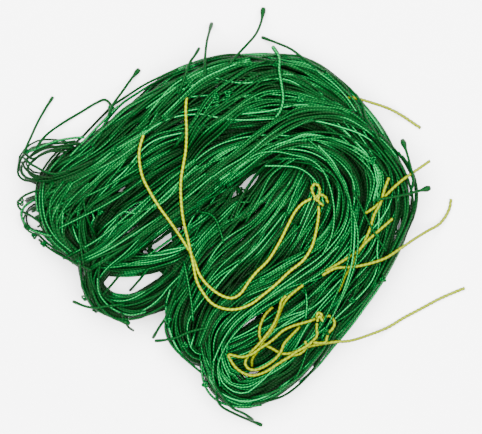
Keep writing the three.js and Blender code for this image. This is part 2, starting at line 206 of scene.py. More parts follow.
def strand_mesh(name, lines, radii, turn, tones_and_painted_shades, section=None, sides=6):
    """One mesh of the tubes round all the lines. For each line there is an array of its
    points, of the radius at each point, and a tone for the line or for each point, which may
    hold painted shade. section gives the radius at an angle, as a share of the round one."""
    points, quads, ends, uvs, tones = [], [], [], [], []
    first = 0
    angles = np.arange(sides) * 2 * math.pi / sides
    for line, radius, tone_and_painted_shade in zip(lines, radii, tones_and_painted_shades):
        side, up = across_and_up(line)
        turns = distances(line) / turn
        share = np.ones((len(line), sides))
        if section is not None:
            share = section(angles[None, :] - 2 * math.pi * turns[:, None])
        reach = np.asarray(radius).reshape(-1, 1) * share
        ring = (
            line[:, None, :]
            + side[:, None, :] * (np.cos(angles) * reach)[..., None]
            + up[:, None, :] * (np.sin(angles) * reach)[..., None]
        )
        points.append(ring.reshape(-1, 3))
        count = len(line)
        ring_start = first + sides * np.arange(count - 1)[:, None]
        k = np.arange(sides)[None, :]
        after = (k + 1) % sides
        quads.append(np.stack([
            ring_start + k, ring_start + after,
            ring_start + sides + after, ring_start + sides + k,
        ], axis=-1).reshape(-1, 4))
        low = np.repeat(turns[:-1, None], sides, axis=1)
        high = np.repeat(turns[1:, None], sides, axis=1)
        left = np.repeat(k / sides, count - 1, axis=0)
        right = left + 1 / sides
        uvs.append(np.stack([
            np.stack([low, left], -1), np.stack([low, right], -1),
            np.stack([high, right], -1), np.stack([high, left], -1),
        ], axis=-2).reshape(-1, 2))
        ends.append(np.stack([
            first + np.arange(sides)[::-1],
            first + sides * (count - 1) + np.arange(sides),
        ]))
        tones.append(np.repeat(np.broadcast_to(tone_and_painted_shade, count), sides))
        first += count * sides
    points = np.concatenate(points)
    quads = np.concatenate(quads)
    ends = np.concatenate(ends)
    uvs = np.concatenate(uvs + [np.zeros((ends.size, 2))])
    corners = np.concatenate([quads.ravel(), ends.ravel()]).astype(np.int32)
    starts = np.concatenate([
        4 * np.arange(len(quads)), 4 * len(quads) + sides * np.arange(len(ends)),
    ]).astype(np.int32)
    mesh = bpy.data.meshes.new(name)
    mesh.vertices.add(len(points))
    mesh.vertices.foreach_set("co", points.ravel().astype(np.float32))
    mesh.loops.add(len(corners))
    mesh.loops.foreach_set("vertex_index", corners)
    mesh.polygons.add(len(starts))
    mesh.polygons.foreach_set("loop_start", starts)
    mesh.polygons.foreach_set("use_smooth", np.ones(len(starts), dtype=bool))
    mesh.uv_layers.new(name="twist").data.foreach_set("uv", uvs.ravel().astype(np.float32))
    mesh.attributes.new("tone_and_painted_shade", "FLOAT", "POINT").data.foreach_set(
        "value", np.concatenate(tones).astype(np.float32)
    )
    mesh.update(calc_edges=True)
    mesh.validate()
    return mesh


def add_piece(name, mesh, material):
    """A new object at the origin, with its finish, that rides on the part."""
    mesh.materials.append(material)
    piece = bpy.data.objects.new(name, mesh)
    bpy.context.collection.objects.link(piece)
    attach(piece, "root")
    return piece


# The hank's runs
# The gathered net lies in four long runs whose bends are the folds, with lower layers in
# the hollows between them. The strands follow the run in locks that part, cross and sink
# a little, in layers one under the other. A row is a station on a run's middle line: x,
# y, half its width and its top above the surface, in millimetres.
MILLIMETRES = 1000
OUTER_RUN = [
    (-6, -1, 6, 14), (-33, -17, 6, 21), (-67, -21, 8, 24), (-91, -10, 11, 24),
    (-103, 12, 13, 24), (-100, 30, 15, 24), (-82, 43, 15, 25), (-45, 74.5, 13.5, 27),
    (-18, 92.5, 15, 28), (18, 100, 15, 28), (52, 99, 14, 27), (76, 83, 13, 27),
    (100, 55, 12, 26), (113.5, 27, 10.5, 26), (109.5, -1, 10.5, 25), (94, -31, 12, 24),
    (66, -66, 12, 24), (43, -92, 10, 24), (18, -104, 11, 23), (2, -96, 9, 22),
    (-2, -81, 7, 20),
]
FRONT_RUN = [
    (6, -102, 8, 19), (-3, -83, 9, 23), (-2, -66, 11, 25), (15, -48, 11, 27),
    (43, -32, 11, 29), (68, -17, 10, 31), (84, 6, 9, 33), (84, 32, 8, 34),
    (65, 51, 9, 34), (37, 55, 11, 34), (5, 44, 14, 34), (-31, 19, 14, 33),
    (-63, -6, 14, 31), (-78, -22, 9, 28), (-82, -35, 7, 24), (-72, -47, 7, 22),
    (-56, -49, 7, 21), (-36, -41, 9, 20), (-16, -24, 9, 14),
]
MIDDLE_RUN = [
    (-63, -20, 6, 14), (-82, -12, 7, 20), (-87, 10, 8, 24), (-74, 31, 10, 26),
    (-41, 60, 12, 29), (-6, 76, 13, 30), (31, 81, 13, 31), (70, 75, 13, 31),
    (96, 50, 14, 30), (103, 23, 14, 29), (94, -7, 13, 27), (70, -39, 12, 20),
    (38, -62, 10, 14), (11, -76, 8, 12), (-10, -83, 6, 17),
]
INNER_RUN = [
    (-2, -84, 6, 14), (-17, -80, 6, 20), (-24, -61, 8, 23), (-18, -42, 11, 24),
    (-5, -20, 16, 26), (15, 0, 19, 26), (33, 18, 16, 24), (47, 34, 12, 20),
    (59, 56, 9, 14),
]
UPPER_HOLLOW = [
    (-80, 2, 6, 14), (-66, 20, 9, 15), (-42, 41, 10, 16), (-10, 57, 10, 17),
    (24, 65, 10, 17), (58, 62, 9, 17),
]
LEFT_HOLLOW = [
    (-30, -32, 9, 14), (-18, -14, 13, 15), (-2, 6, 14, 16), (21, 30, 13, 17),
    (48, 50, 11, 17),
]
RIGHT_HOLLOW = [
    (8, -48, 9, 12), (23, -36, 12, 12), (46, -12, 15, 12), (63, 12, 14, 13),
    (68, 32, 11, 14), (60, 46, 8, 15),
]
LOW_HOLLOW = [
    (3, -87, 8, 8), (24, -78, 12, 9), (39, -64, 14, 9), (60, -48, 13, 11),
]
INNER_HOLLOW = [
    (-13, -78, 7, 12), (-6, -64, 9, 15), (3, -51, 9, 17), (16, -34, 9, 17),
    (32, -15, 9, 16), (48, 6, 9, 14),
]
FOLD_HOLLOW = [
    (-56, -22, 6, 12), (-33, -4, 11, 15), (-12, 18, 12, 17), (12, 40, 10, 19),
    (30, 50, 8, 19),
]
LEFT_LOOP = [
    (-91, 53, 3, 12), (-106, 57, 3, 9), (-120, 55, 3, 7), (-128, 45, 2.5, 6),
    (-122, 36, 3, 7), (-109, 35, 3, 9), (-97, 40, 4, 12),
]
LOW_LOOP = [
    (-113, 21, 2.5, 10), (-123, 18, 2, 7), (-127, 10, 2, 6), (-125, 2, 2, 6),
    (-115, -3, 2.5, 8),
]

# Gaps between the strands, in metres: x, y, length, width, and the turn of the length
# in degrees
GAPS = [
    (-0.065, 0.026, 0.014, 0.006, 45),
    (-0.077, 0.016, 0.017, 0.006, 50),
    (-0.057, 0.012, 0.015, 0.005, 40),
    (-0.032, -0.005, 0.019, 0.006, 40),
    (-0.044, -0.012, 0.012, 0.0045, 25),
    (0.0185, 0.029, 0.019, 0.007, 45),
    (0.015, 0.0155, 0.014, 0.0055, 50),
    (0.016, -0.095, 0.015, 0.0045, 15),
    (0.1175, -0.001, 0.015, 0.0042, 75),
]

# How far the round section's foot is under the surface, how square it is, and how far
# round its sides the strands go, in radians
SUNK = 0.008
SQUARENESS = 0.78
UNDER = 0.8
# Strands of a lock wander together, and each also alone: to the side and down
LOCK_WIDTH = 0.009
LOCK_SHIFT = 0.0013
LOCK_SINK = 0.0006
OWN_SHIFT = 0.0018
OWN_SINK = 0.0004
OWN_SLOPE = 0.010
# A few strands of the top layer roam across the others, on top of them
ROAM_SHARE = 0.14
ROAM_SHIFT = 0.0075
ROAM_RISE = 0.0009
LAYER_STEP = 0.0014
TOP_DEPTH = 0.0002
# What stands higher than this over the section is pressed down to a share of it
PROUD = 0.0010
PROUD_SHARE = 0.3
# A few strands hardly part at a gap, and cross it
CROSSING_SHARE = 0.03
RUN_TONE = 0.64
RING_STEP = 0.0045
CURVE_STEPS = 24


def smooth_line(rows, step):
    """A centripetal Catmull-Rom curve through the rows, at even steps along it."""
    rows = np.array(rows, dtype=float)
    knots = np.concatenate([2 * rows[:1] - rows[1:2], rows, 2 * rows[-1:] - rows[-2:-1]])
    apart = np.sqrt(np.linalg.norm(np.diff(knots[:, :2], axis=0), axis=1))
    times = np.concatenate([[0], np.cumsum(apart)])
    fine = []
    for i in range(1, len(knots) - 2):
        t = np.linspace(times[i], times[i + 1], CURVE_STEPS, endpoint=False)[:, None]
        t0, t1, t2, t3 = times[i - 1 : i + 3]
        p0, p1, p2, p3 = knots[i - 1 : i + 3]
        a1 = (t1 - t) / (t1 - t0) * p0 + (t - t0) / (t1 - t0) * p1
        a2 = (t2 - t) / (t2 - t1) * p1 + (t - t1) / (t2 - t1) * p2
        a3 = (t3 - t) / (t3 - t2) * p2 + (t - t2) / (t3 - t2) * p3
        b1 = (t2 - t) / (t2 - t0) * a1 + (t - t0) / (t2 - t0) * a2
        b2 = (t3 - t) / (t3 - t1) * a2 + (t - t1) / (t3 - t1) * a3
        fine.append((t2 - t) / (t2 - t1) * b1 + (t - t1) / (t2 - t1) * b2)
    fine = np.concatenate(fine + [rows[-1:]])
    length = distances(fine[:, :2])
    places = np.linspace(0, length[-1], max(3, round(length[-1] / step) + 1))
    return np.stack([np.interp(places, length, column) for column in fine.T], axis=1)


def squared(value):
    """A bundle of strands is squarer than an ellipse."""
    return np.sign(value) * np.abs(value) ** SQUARENESS


def wander(rng, count, places, size, waves):
    """A smooth random offset for each of count strands, along the places in metres."""
    total = np.zeros((count, len(places)))
    for wave in waves:
        phase = rng.uniform(0, 2 * math.pi, (count, 1))
        pitch = wave * rng.uniform(0.7, 1.4, (count, 1))
        total += np.sin(places[None, :] * 2 * math.pi / pitch + phase)
    return size * total / math.sqrt(len(waves))


def part_round_gaps(points, keep, thick):
    """Moves the points of the strands to either side of each gap, smoothly. keep is the
    share of the way that each strand goes."""
    for x, y, length, width, turn in GAPS:
        angle = math.radians(turn)
        ahead = np.array([math.cos(angle), math.sin(angle)])
        side = np.array([-ahead[1], ahead[0]])
        offset = points[..., :2] - [x, y]
        along = offset @ ahead / (0.75 * length)
        across = offset @ side
        push = (0.42 * width + 0.4 * thick) ** 2 * np.clip(1 - along**2, 0, None)
        moved = np.where(across < 0, -1, 1) * np.sqrt(across**2 + push)
        fade = np.clip(2 - np.abs(across) / (1.5 * width), 0, 1)
        points[..., :2] += ((moved - across) * fade * keep)[..., None] * side
    return points


def run_strands(seed, rows, drift, layer_counts, sink=0.0, thick=TWINE):
    """A run's strands, in locks and layers under its rounded top: their middle lines,
    tones and radius. drift is the turn of the whole run along it, and sink its depth."""
    rng = np.random.default_rng(seed)
    stations = smooth_line(np.array(rows) / MILLIMETRES, RING_STEP)
    middle = stations[:, :2]
    heading = np.gradient(middle, axis=0)
    heading /= np.linalg.norm(heading, axis=1, keepdims=True)
    places = RING_STEP * np.arange(len(stations))
    half, top = stations[:, 2], stations[:, 3]
    turn = np.linspace(-UNDER, math.pi + UNDER, 400)
    profile = np.stack([
        squared(np.cos(turn)) * half.mean(),
        squared(np.sin(turn)) * (top.mean() + SUNK) / 2,
    ], axis=1)
    walked = distances(profile)
    count = sum(layer_counts)
    layer = np.repeat(np.arange(len(layer_counts)), layer_counts)
    spot = np.concatenate([
        (np.arange(n) + rng.uniform(-0.6, 0.6, n) + 0.5) / n for n in layer_counts
    ])
    spot = np.clip(spot, 0, 1) * walked[-1]
    lock = (spot / LOCK_WIDTH + layer * 0.37).astype(int) + 1000 * layer
    names, group = np.unique(lock, return_inverse=True)
    lock_shift = wander(rng, len(names), places, LOCK_SHIFT, (0.17, 0.10))[group]
    lock_sink = wander(rng, len(names), places, LOCK_SINK, (0.13, 0.07))[group]
    own_shift = wander(rng, count, places, OWN_SHIFT, (0.13, 0.07))
    own_sink = wander(rng, count, places, OWN_SINK, (0.08, 0.045))
    slope = rng.normal(0, OWN_SLOPE, (count, 1)) * (places / 0.3 - 0.5)[None, :]
    roams = (rng.random((count, 1)) < ROAM_SHARE) & (layer[:, None] == 0)
    own_shift += roams * wander(rng, count, places, ROAM_SHIFT, (0.30, 0.17))
    own_sink -= roams * ROAM_RISE
    walk = spot[:, None] + lock_shift + own_shift + slope
    angle = np.interp(walk, walked, turn) + drift * (places / places[-1] - 0.5)[None, :] * 0.12
    small = np.maximum(0.003, np.minimum(half, (top + SUNK) / 2))[None, :]
    depth = sink + LAYER_STEP * layer[:, None] + TOP_DEPTH + lock_sink + own_sink
    depth = np.where(depth < -PROUD, -PROUD + PROUD_SHARE * (depth + PROUD), depth)
    reach = np.clip(1 - depth / small, 0.05, 1.3)
    across = squared(np.cos(angle)) * half * reach
    up = (top - SUNK) / 2 + squared(np.sin(angle)) * (top + SUNK) / 2 * reach
    up = np.maximum(up, 0.5 * thick + rng.uniform(0, 0.002, (count, 1)))
    side = np.stack([-heading[:, 1], heading[:, 0]], axis=1)
    plan = middle[None] + side[None] * across[..., None]
    points = np.concatenate([plan, up[..., None]], axis=2)
    keep = np.where(rng.random((count, 1)) < CROSSING_SHARE, 0.3, 1.0)
    points = part_round_gaps(points, keep, thick)
    tone = rng.normal(0, 0.16, count) + rng.normal(0, 0.08, len(names))[group]
    return list(points), list(RUN_TONE + tone), thick / 2


pieces_of_hank = {
    "outer_run_strands": [run_strands(11, OUTER_RUN, 3.2, (27, 34, 32, 20))],
    "front_run_strands": [run_strands(12, FRONT_RUN, -2.4, (27, 34, 34, 26))],
    "middle_run_strands": [run_strands(13, MIDDLE_RUN, 2.2, (28, 36, 32, 22))],
    "inner_run_strands": [
        run_strands(14, INNER_RUN, 0.9, (26, 32, 32, 26)),
        run_strands(15, UPPER_HOLLOW, 0.5, (24, 26)),
        run_strands(16, LEFT_HOLLOW, 0.5, (26, 28)),
        run_strands(17, RIGHT_HOLLOW, 0.5, (26, 28)),
        run_strands(18, LOW_HOLLOW, 0.5, (26, 28)),
        run_strands(21, FOLD_HOLLOW, 0.5, (22, 24)),
        run_strands(22, INNER_HOLLOW, 0.5, (18, 20)),
        run_strands(19, LEFT_LOOP, 1.0, (3,)),
        run_strands(20, LOW_LOOP, 1.0, (3,)),
    ],
    # The inside of the heap, in thicker strands that only close what shows through
    "inner_strands": [
        run_strands(seed, rows, drift, (count,), sink, 0.0045)
        for seed, rows, drift, count, sink in (
            (31, OUTER_RUN, 3.2, 14, 0.0062), (32, FRONT_RUN, -2.4, 14, 0.0062),
            (33, MIDDLE_RUN, 2.2, 14, 0.0062), (34, INNER_RUN, 0.9, 14, 0.0062),
            (35, UPPER_HOLLOW, 0.5, 10, 0.0040), (36, LEFT_HOLLOW, 0.5, 10, 0.0040),
            (37, RIGHT_HOLLOW, 0.5, 10, 0.0040), (39, FOLD_HOLLOW, 0.5, 9, 0.0040),
            (40, INNER_HOLLOW, 0.5, 7, 0.0040), (38, LOW_HOLLOW, 0.5, 10, 0.0040),
        )
    ],
}


# What lies under the cords
# A grid of the heap's top over the plan, in half-millimetre cells. A cord rests where its
# round section first meets what is under it.
CELL = 0.0005
GRID_LOW = np.array([-0.150, -0.150])
GRID_SHAPE = (680, 620)
tops = np.zeros(GRID_SHAPE)

# Painted shade: a strand darkens from this depth under the skin on, by this scale, to this share
LIT_DEPTH = 0.0003
DARK_SCALE = 0.0025
DEEP_SHARE = 0.28


def cell_numbers(values, axis):
    """The grid's cells in which the values of x or y lie."""
    return np.round((values - GRID_LOW[axis]) / CELL).astype(int)


def raise_tops(line, radius):
    """Adds one round strand to the grid of tops."""
    length = distances(line)
    fine = np.stack([
        np.interp(np.arange(0, length[-1], CELL), length, column) for column in line.T
    ], axis=1)
    span = int(radius / CELL)
    across, along = cell_numbers(fine[:, 0], 0), cell_numbers(fine[:, 1], 1)
    for i in range(-span, span + 1):
        for j in range(-span, span + 1):
            away = math.hypot(i, j) * CELL
            if away < radius:
                height = fine[:, 2] + math.sqrt(radius**2 - away**2)
                u = np.clip(across + i, 0, GRID_SHAPE[0] - 1)
                v = np.clip(along + j, 0, GRID_SHAPE[1] - 1)
                np.maximum.at(tops, (u, v), height)


for groups in pieces_of_hank.values():
    for lines, tones, radius in groups:
        for line in lines:
            raise_tops(line, radius)


def spread(values, reach, pick):
    """Each cell takes the highest or lowest of the cells within reach, as pick says."""
    steps = int(reach / CELL)
    for axis in (0, 1):
        shifted = [np.roll(values, i, axis) for i in range(-steps, steps + 1)]
        values = pick(shifted, axis=0)
    return values


def painted_depth_shade(points, tones):
    """The tone at each point: its strand's own tone, with painted shade, darker the deeper it lies."""
    over = skin[cell_numbers(points[:, 0], 0), cell_numbers(points[:, 1], 1)]
    deep = over - points[:, 2] - TWINE / 2
    lit = np.exp(-np.maximum(deep - LIT_DEPTH, 0) / DARK_SCALE)
    return tones * (DEEP_SHARE + (1 - DEEP_SHARE) * lit)


def resting_height(x, y, radius):
    """The height of a cord's middle line where it lies on what is in the grid."""
    span = int(math.ceil(radius / CELL))
    height = np.full(len(x), radius)
    across, along = cell_numbers(x, 0), cell_numbers(y, 1)
    for i in range(-span, span + 1):
        for j in range(-span, span + 1):
            away = math.hypot(i, j) * CELL
            if away < radius:
                u = np.clip(across + i, 0, GRID_SHAPE[0] - 1)
                v = np.clip(along + j, 0, GRID_SHAPE[1] - 1)
                height = np.maximum(height, tops[u, v] + math.sqrt(radius**2 - away**2))
    return height


# How tightly a cord bends over a hump and sags between two, and the step of its points
BEND_RADIUS = 0.012
DROOP_RADIUS = 0.030
LAY_STEP = 0.001
SAG_PASSES = 3000
EASE_PASSES = 40


def lay(rows, radius, step=LAY_STEP, bend=BEND_RADIUS):
    """A cord's middle line laid along its route, over humps and into hollows."""
    route = np.array([tuple(row) + (0.0,) * (3 - len(row)) for row in rows])
    line = smooth_line(route, step)
    rest = resting_height(line[:, 0], line[:, 1], radius)
    places = step * np.arange(len(line))
    drop = (places[:, None] - places[None, :]) ** 2 / (2 * bend)
    rest = (rest[None, :] - drop).max(axis=1)
    height = np.maximum(line[:, 2], rest)
    droop = step**2 / (2 * DROOP_RADIUS)
    for _ in range(SAG_PASSES):
        height[1:-1] = np.maximum(rest[1:-1], (height[:-2] + height[2:]) / 2 - droop)
    for _ in range(EASE_PASSES):
        height[1:-1] = np.maximum(rest[1:-1], (height[:-2] + 2 * height[1:-1] + height[2:]) / 4)
    line[:, 2] = height
    return line


def add_strands(name, lines, tones, radii):
    """Adds the strands as one piece of the hank."""
    radii = [np.full(len(line), radius) for line, radius in zip(lines, radii)]
    # Painted shade: each point is darker the deeper it lies in the heap
    tones_and_painted_shades = [painted_depth_shade(line, tone) for line, tone in zip(lines, tones)]
    mesh = strand_mesh(name, lines, radii, TWINE_TURN, tones_and_painted_shades)
    piece = add_piece(name, mesh, green_twine)
    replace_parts(piece, "net_hank")


# Loose strands
# Single strands of the net that lie over the others: bands that cross the bends, ones at
# the heap's rim drawn light as painted light against the shadow at its foot, and dark ones
# that stand off its edge in thin loops.
LOOSE_STRANDS = [
    [(345, 232), (330, 252), (310, 270.1), (285, 288), (262, 304), (243, 318.1), (228, 334.1),
     (216, 354.1), (213, 374.1), (217, 392)],
    [(338, 246.1), (318, 263.9), (296, 280), (270, 296), (250, 310.1), (234, 324), (222, 342.1),
     (213, 362.1)],
    [(352, 244), (330, 266.1), (305, 283), (280, 298.1), (258, 312), (240, 328), (226, 346.1),
     (218, 366.1), (220, 386)],
    [(250, 158), (258, 154), (275, 151.9), (292, 155), (310, 159.9), (322, 170), (330, 187.9),
     (334, 211.9), (331, 236), (322, 255)],
    [(265, 166), (280, 166), (298, 168), (310, 175), (320, 187.9), (324, 205)],
    [(80, 226), (80, 238), (82, 252), (86, 275)],
    [(200, 211.9), (210, 214), (216, 220), (220, 230), (224, 243)],
    [(84, 199.9), (86, 211.9), (90, 224), (96, 236)],
    [(184, 262.1), (187, 276), (190, 292), (192, 306.1), (193, 321)],
    [(306, 292), (307, 304), (306, 319)],
    [(88, 195.9), (104, 187.9), (122, 178.1), (145, 165), (170, 150)],
    [(60, 227.9), (80, 218), (100, 207.9), (120, 195.9), (142, 179.9)],
]
RIM_STRANDS = [
    [(70, 143), (56, 156), (46, 170), (41, 186), (40, 205), (44, 225), (54, 242), (68, 254)],
    [(73, 146), (60, 158), (50, 170), (44, 184), (43, 204), (47, 223), (57, 239), (72, 252)],
    [(66, 143), (53, 155), (44, 167), (38, 180), (36, 196), (38, 212)],
    [(414, 198), (411, 220), (404, 242), (394, 262), (382, 283), (366, 306), (350, 328),
     (334, 348), (318, 368), (300, 384)],
    [(411, 205), (408, 222), (401, 243), (391, 262), (379, 282), (363, 305), (347, 327),
     (331, 347), (314, 367)],
    [(372, 131), (384, 142), (395, 155), (403, 168), (409, 182)],
    [(98, 278), (99, 292), (106, 303), (117, 311), (131, 315), (146, 312)],
    [(170, 290), (166, 306), (168, 324), (173, 340), (181, 354), (192, 365), (203, 375)],
]
EDGE_STRANDS = [
    [(340, 322.1), (331, 342.1), (320, 360), (310, 374.1), (297, 387), (284, 396), (268, 401),
     (252, 404)],
    [(334, 330.1), (324, 348), (312, 363), (299, 377), (285, 386), (270, 393), (252, 398)],
    [(98, 134), (110, 115.9), (122, 103), (135, 94), (152, 83.9), (170, 75), (190, 66)],
    [(92, 146.1), (106, 127), (120, 112), (136, 101), (152, 91.9), (170, 83), (190, 74)],
    [(80, 150), (96, 135.9), (112, 122), (127, 109), (143, 99.9), (162, 90)],
    [(110, 137), (126, 119.9), (142, 105), (158, 93), (178, 80)],
    [(378, 134), (392, 147), (404, 161), (413, 177), (418, 196), (415, 214), (408, 230),
     (400, 247), (390, 266), (379, 284)],
    [(376, 138), (390, 152), (402, 168), (410, 186), (413, 204), (409, 222), (402, 240),
     (392, 258), (382, 276)],
    [(372, 142), (386, 158), (397, 175), (404, 194), (405, 212), (400, 230), (391, 250),
     (381, 270), (370, 290)],
    [(384, 150), (396, 166), (404, 182), (408, 200), (406, 218), (398, 238), (388, 258)],
    [(366, 150), (380, 166), (391, 184), (396, 204), (394, 222), (386, 244), (376, 266),
     (364, 288)],
    [(66, 150), (80, 138), (92, 125), (103, 113), (112, 104)],
    [(70, 156), (84, 141), (96, 128), (107, 117), (118, 106)],
    [(112, 104), (128, 94), (143, 85), (160, 77), (178, 69)],
    [(398, 152), (408, 166), (414, 180), (416, 196), (413, 212), (404, 234), (394, 254)],
    [(402, 156), (411, 169), (416, 183), (417, 198), (414, 214)],
    [(122, 272), (114, 282), (103, 295)],
    [(148, 269), (140, 279), (129, 291)],
    [(176, 300), (170, 314), (168, 328)],
    [(121, 312), (125, 320), (128, 327), (133, 331)],
    [(96, 302), (105, 312), (118, 319), (130, 324)],
    [(75, 141), (58, 143), (42, 144), (30, 150), (21, 157), (17.5, 166), (18, 175), (24, 180),
     (35, 181), (50, 180), (65, 176), (80, 170), (92, 163)],
    [(80, 143), (60, 146), (45, 148), (33, 154), (25, 160), (21, 168), (23, 175), (31, 179),
     (45, 178), (60, 174), (78, 168), (95, 160)],
    [(72, 147), (56, 149), (43, 153), (34, 160), (28, 167), (30, 174), (38, 178), (52, 177),
     (70, 172)],
    [(24, 158), (31, 164), (38, 168), (46, 172), (56, 174), (68, 171)],
    [(22, 162), (26, 169), (33, 174), (42, 177), (54, 178)],
    [(84, 137), (70, 138), (55, 141), (42, 146), (32, 150), (25, 152)],
    [(66, 152), (52, 151), (41, 155), (33, 159), (25, 154)],
    [(40, 190.1), (30, 193), (21, 198.1), (17.5, 203.9), (22, 211), (31, 215.9), (40, 222)],
    [(34, 199.9), (25, 206.1), (21, 213), (24, 222), (30, 229), (40, 233), (52, 236)],
    [(38, 240), (50, 249), (64, 257), (78, 263.9), (92, 270.1)],
    [(80, 258.1), (81, 270.1), (82, 282.1), (86, 294), (94, 307), (107, 315), (122, 319), (138, 318.1),
     (153, 312), (167, 304)],
    [(176, 296), (169, 306.1), (166, 318.1), (166, 331.9), (171, 343.9), (180, 354.1), (192, 365),
     (204, 375)],
    [(201, 366.1), (203, 380), (208, 392), (217, 401), (230, 406), (246, 407), (262, 405)],
    [(195, 64), (212, 57.6), (232, 54.7), (249.5, 57.2), (269, 61.3)],
]


# Sheets of strands that lie side by side: how many, the first border and the last one
FANS = [
    (9, [(131, 118), (160, 92), (190, 72), (220, 60), (250, 57), (268, 59)],
        [(160, 140), (185, 115), (205, 95), (225, 79), (245, 68), (268, 61)]),
    (8, [(172, 150), (190, 122), (205, 98), (228, 77), (250, 65), (272, 61), (292, 64), (315, 77),
         (340, 97), (358, 115)],
        [(190, 140), (205, 120), (230, 103), (250, 91), (265, 83), (280, 82), (300, 88),
         (320, 99), (345, 111), (362, 122)]),
    (9, [(186, 150), (205, 122), (230, 104), (250, 92), (266, 84), (282, 83), (300, 89),
         (320, 100), (345, 112)],
        [(183, 175), (200, 154), (220, 136), (240, 117), (260, 106), (282, 103), (305, 102),
         (330, 104), (350, 112)]),
    (9, [(215, 184), (240, 165), (262, 150), (285, 138), (308, 133), (338, 135), (368, 149),
         (387, 170), (381, 200)],
        [(230, 186), (250, 170), (270, 155), (290, 148), (310, 148), (330, 154), (345, 168),
         (353, 185), (356, 205)]),
    (11, [(186, 190), (210, 171), (230, 155), (252, 135), (275, 117), (298, 107), (325, 107),
          (350, 113), (366, 124), (380, 140)],
         [(204, 190), (230, 170), (255, 152), (277, 139), (300, 127), (325, 121), (350, 124),
          (372, 136), (392, 156), (400, 172)]),
    (9, [(186, 345), (200, 305), (225, 275), (255, 245), (285, 212)],
        [(206, 348), (220, 315), (243, 288), (272, 258), (300, 225)]),
    (5, [(226, 222), (240, 196), (258, 170), (280, 152)],
        [(246, 222), (258, 200), (274, 178), (296, 160)]),
    (6, [(130, 238), (155, 218), (180, 200), (210, 184)],
        [(150, 256), (175, 238), (200, 220), (228, 200)]),
    (5, [(98, 205), (125, 180), (152, 160), (180, 146)],
        [(118, 214), (142, 194), (166, 176), (192, 160)]),
    (14, [(24, 200), (60, 188), (95, 165), (125, 140), (150, 118)],
         [(40, 225), (68, 209.9), (92, 190), (116, 168), (142, 146)]),
    (3, [(44, 227.9), (70, 215.9), (100, 199.9), (140, 175.9)],
        [(52, 234.1), (84, 217.9), (118, 199), (150, 180)]),
    (10, [(45, 180), (65, 174), (90, 163), (115, 146), (138, 128)],
         [(38, 196), (62, 186), (92, 174), (118, 158), (142, 140)]),
    (15, [(50, 182), (38, 200), (37, 216), (47, 234), (62, 250), (84, 266)],
         [(97, 184), (80, 203), (68, 224), (66, 238), (74, 252), (88, 262)]),
    (4, [(140, 175), (112, 190), (90, 205), (79, 222), (78, 238), (84, 250), (94, 256)],
        [(128, 182), (104, 197), (88, 210), (84, 224), (85, 238), (89, 247), (97, 250)]),
    (3, [(28, 228), (45, 247), (62, 256), (82, 268)],
        [(40, 232), (52, 243), (70, 253), (90, 264)]),
    (7, [(78, 248), (80, 270), (84, 290), (92, 306), (106, 316), (124, 320)],
        [(102, 252), (98, 275), (101, 292), (110, 303), (124, 310), (142, 312)]),
    (4, [(182, 284), (168, 306), (165, 330), (173, 350)],
        [(192, 290), (180, 310), (178, 332), (186, 352)]),
    (11, [(62, 258), (95, 240), (130, 212), (165, 184), (195, 160)],
         [(95, 270), (125, 252), (155, 232), (185, 208), (215, 180)]),
]


# Strands that aren't pressed by others are a little thicker
LOOSE_RADIUS = 0.00076
RIM_RADIUS = 0.00080
EDGE_RADIUS = 0.00086
# How far a fan's strands leave their place: evenly, as a tilt, and at each point
FAN_SHARE = 0.35
FAN_TILT = 0.16
FAN_JITTER = 0.0007
# The step of a sheet's strands, the bend they take, how deep they sink in, their tones
SHEET_STEP = 0.002
SHEET_BEND = 0.006
SHEET_SINK = 0.0016
SHEET_TONES = 0.13


def fan_routes(seed, count, first, last):
    """Routes spread between two borders, each a little out of line with the next."""
    rng = np.random.default_rng(seed)
    first, last = np.array(metres(first)), np.array(metres(last))
    routes = []
    for i in range(count):
        share = (i + 0.5 + rng.uniform(-FAN_SHARE, FAN_SHARE)) / count
        tilt = rng.normal(0, FAN_TILT) * np.linspace(-1, 1, len(first))
        mix = np.clip(share + tilt, -0.05, 1.05)[:, None]
        jitter = rng.normal(0, FAN_JITTER, first.shape)
        routes.append((1 - mix) * first + mix * last + jitter)
    return routes


def lay_sheets(sheets, tone, radius=LOOSE_RADIUS):
    """Strands laid sheet by sheet on what is already there, those of a sheet side by side."""
    rng = np.random.default_rng(len(sheets))
    lines = []
    for routes in sheets:
        sheet = [lay(rows, radius, SHEET_STEP, SHEET_BEND) for rows in routes]
        for line in sheet:
            if len(sheet) > 1:
                line[:, 2] = np.maximum(line[:, 2] - rng.uniform(0, SHEET_SINK), radius)
            raise_tops(line, radius)
        lines += sheet
    return lines, list(tone + rng.normal(0, SHEET_TONES, len(lines))), radius


def single_sheets(table):
    """Each strand of the table as a sheet of its own."""
    return [[metres(points)] for points in table]


pieces_of_hank["fanned_strands"] = [
    lay_sheets([fan_routes(50 + k, *fan) for k, fan in enumerate(FANS)], 0.54)
]
pieces_of_hank["loose_strands"] = [lay_sheets(single_sheets(LOOSE_STRANDS), 0.64)]
pieces_of_hank["edge_strands"] = [
    # Painted light: the rim strands get a light tone against the shadow at the heap's foot
    lay_sheets(single_sheets(RIM_STRANDS), 0.85, RIM_RADIUS),
    lay_sheets(single_sheets(EDGE_STRANDS), 0.45, EDGE_RADIUS),
]

# The heap's outer skin with its narrow crevices closed, drawn in a little at the heap's
# edge: what lies under it gets painted shade
CREVICE = 0.004
DRAWN_IN = 0.0055
skin = spread(spread(tops, CREVICE, np.max), DRAWN_IN, np.min)
for name, groups in pieces_of_hank.items():
    lines = [line for group in groups for line in group[0]]
    tones = [tone for group in groups for tone in group[1]]
    radii = [group[2] for group in groups for line in group[0]]
    add_strands(name, lines, tones, radii)


